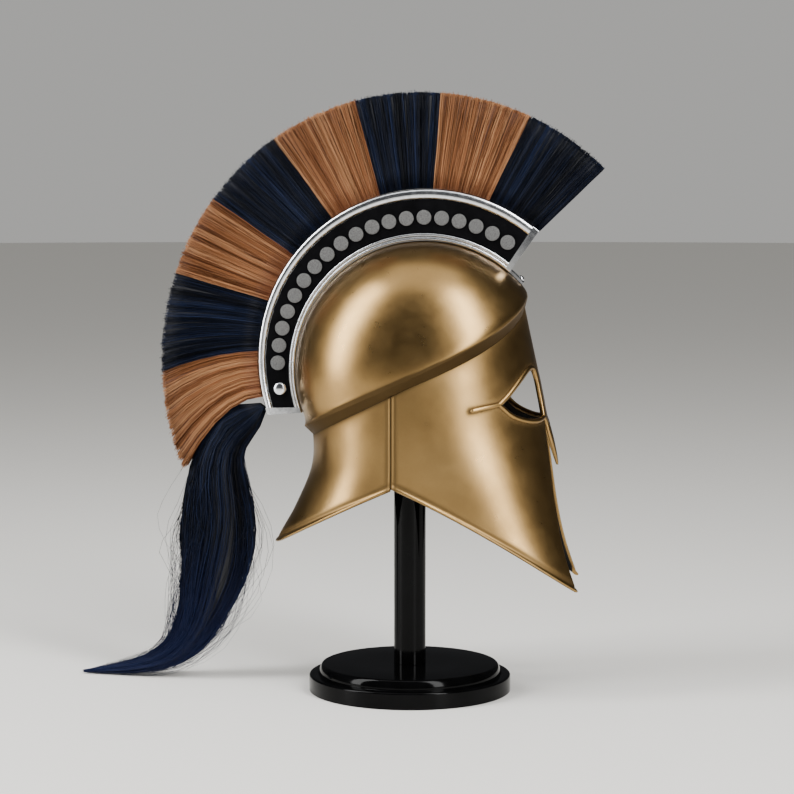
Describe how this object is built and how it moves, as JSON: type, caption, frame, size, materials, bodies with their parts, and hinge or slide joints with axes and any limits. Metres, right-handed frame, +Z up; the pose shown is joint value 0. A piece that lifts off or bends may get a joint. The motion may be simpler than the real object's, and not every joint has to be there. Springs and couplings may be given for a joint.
{
  "type": "crested helmet on display stand",
  "caption": "Crested bronze helmet with face guard, nasal and flared neck plate, banded hair plume and long hair tail, on a round black pole stand.",
  "frame": {"origin": "centre of the stand's foot, on the surface that it stands on", "axes": "+Z up, +X the way the helmet's face looks, +Y to the wearer's left"},
  "size_m": [0.5363, 0.203, 0.5992],
  "materials": {
    "bronze": "satin",
    "silver_metal": "satin",
    "disc_metal": "matt",
    "black_panel": "satin",
    "navy_hair": "hair",
    "copper_hair": "hair",
    "black_lacquer": "gloss"
  },
  "bodies": {
    "root": {"skull_dome": "bronze", "face_guard": "bronze", "neck_guard": "bronze", "crest_frame": "silver_metal", "crest_panel_right": "black_panel", "crest_panel_left": "black_panel", "crest_disc_right_01": "disc_metal", "crest_disc_right_02": "disc_metal", "crest_disc_right_03": "disc_metal", "crest_disc_right_04": "disc_metal", "crest_disc_right_05": "disc_metal", "crest_disc_right_06": "disc_metal", "crest_disc_right_07": "disc_metal", "crest_disc_right_08": "disc_metal", "crest_disc_right_09": "disc_metal", "crest_disc_right_10": "disc_metal", "crest_disc_right_11": "disc_metal", "crest_disc_right_12": "disc_metal", "crest_disc_right_13": "disc_metal", "crest_disc_right_14": "disc_metal", "crest_disc_right_15": "disc_metal", "crest_disc_right_16": "disc_metal", "crest_disc_right_17": "disc_metal", "crest_disc_right_18": "disc_metal", "crest_disc_right_19": "disc_metal", "crest_disc_left_01": "disc_metal", "crest_disc_left_02": "disc_metal", "crest_disc_left_03": "disc_metal", "crest_disc_left_04": "disc_metal", "crest_disc_left_05": "disc_metal", "crest_disc_left_06": "disc_metal", "crest_disc_left_07": "disc_metal", "crest_disc_left_08": "disc_metal", "crest_disc_left_09": "disc_metal", "crest_disc_left_10": "disc_metal", "crest_disc_left_11": "disc_metal", "crest_disc_left_12": "disc_metal", "crest_disc_left_13": "disc_metal", "crest_disc_left_14": "disc_metal", "crest_disc_left_15": "disc_metal", "crest_disc_left_16": "disc_metal", "crest_disc_left_17": "disc_metal", "crest_disc_left_18": "disc_metal", "crest_disc_left_19": "disc_metal", "crest_rivet_right": "silver_metal", "crest_rivet_left": "silver_metal", "front_screw": "silver_metal", "plume_1": "navy_hair", "plume_2": "copper_hair", "plume_3": "navy_hair", "plume_4": "copper_hair", "plume_5": "navy_hair", "plume_6": "copper_hair", "plume_7": "navy_hair", "plume_8": "copper_hair", "plume_tail": "navy_hair", "stand_base": "black_lacquer", "stand_pole": "black_lacquer"}
  },
  "joints": []
}
